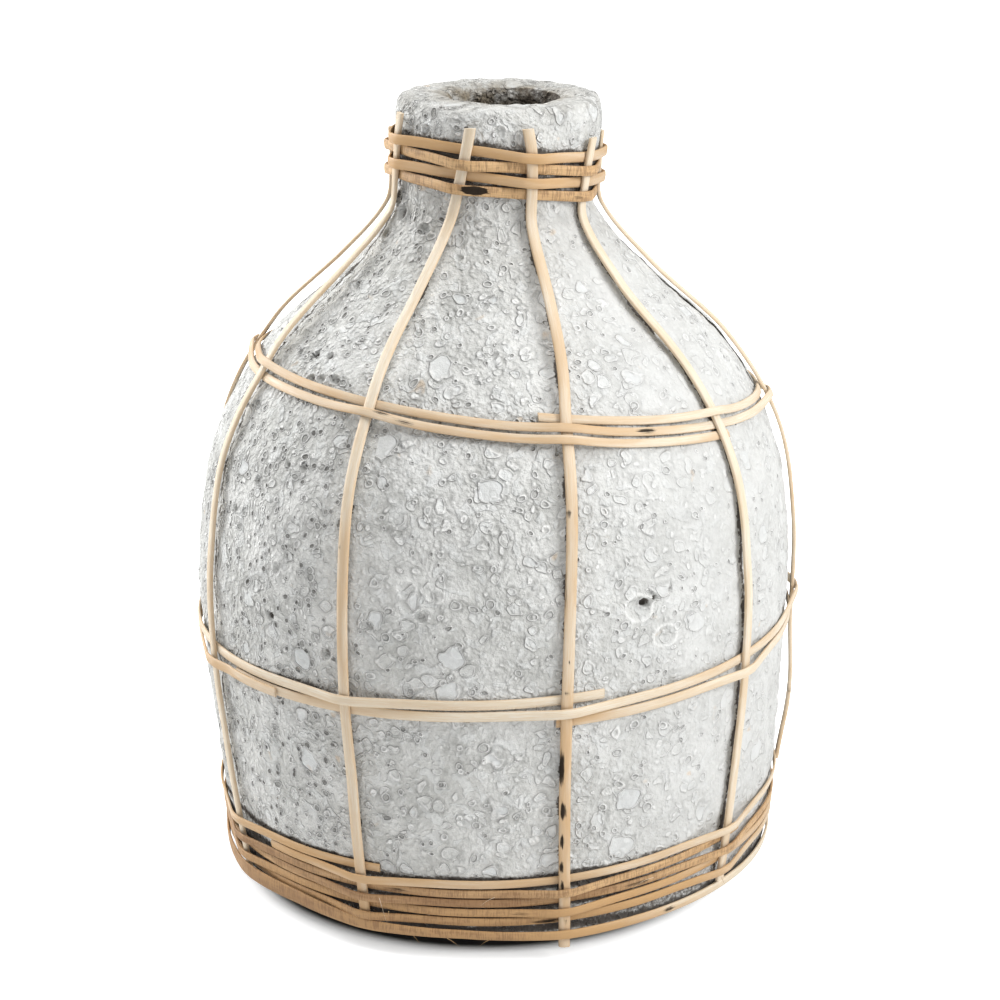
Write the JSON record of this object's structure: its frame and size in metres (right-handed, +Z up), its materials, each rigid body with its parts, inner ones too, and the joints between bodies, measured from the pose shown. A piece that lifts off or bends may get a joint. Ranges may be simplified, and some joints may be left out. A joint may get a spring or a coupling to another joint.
{
  "type": "vase",
  "caption": "Bottle-shaped clay vase with a wide belly, a narrow neck and a heavy rounded lip, held in an open cage of woven split-cane ribs and bands.",
  "frame": {"origin": "middle of the flat foot, where the vase stands", "axes": "+Z up along the vessel's axis, -Y to the front of the vase as pictured, +X to its right"},
  "size_m": [0.2997, 0.2993, 0.386],
  "materials": {
    "clay": "rough unglazed",
    "cane_light": "natural satin",
    "cane_brown": "natural satin"
  },
  "bodies": {
    "root": {"vessel": "clay", "rib_1": "cane_light", "rib_2": "cane_light", "rib_3": "cane_light", "rib_4": "cane_light", "rib_5": "cane_light", "rib_6": "cane_light", "rib_7": "cane_light", "rib_8": "cane_light", "rib_9": "cane_light", "neck_strand_1": "cane_light", "neck_strand_2": "cane_brown", "neck_strand_3": "cane_light", "neck_strand_4": "cane_brown", "shoulder_strand": "cane_light", "belt_strand_lower": "cane_light", "belt_strand_upper": "cane_light", "hem_strand": "cane_light", "foot_strand_lower": "cane_light", "foot_strand_middle": "cane_brown", "foot_strand_top": "cane_light"}
  },
  "joints": []
}
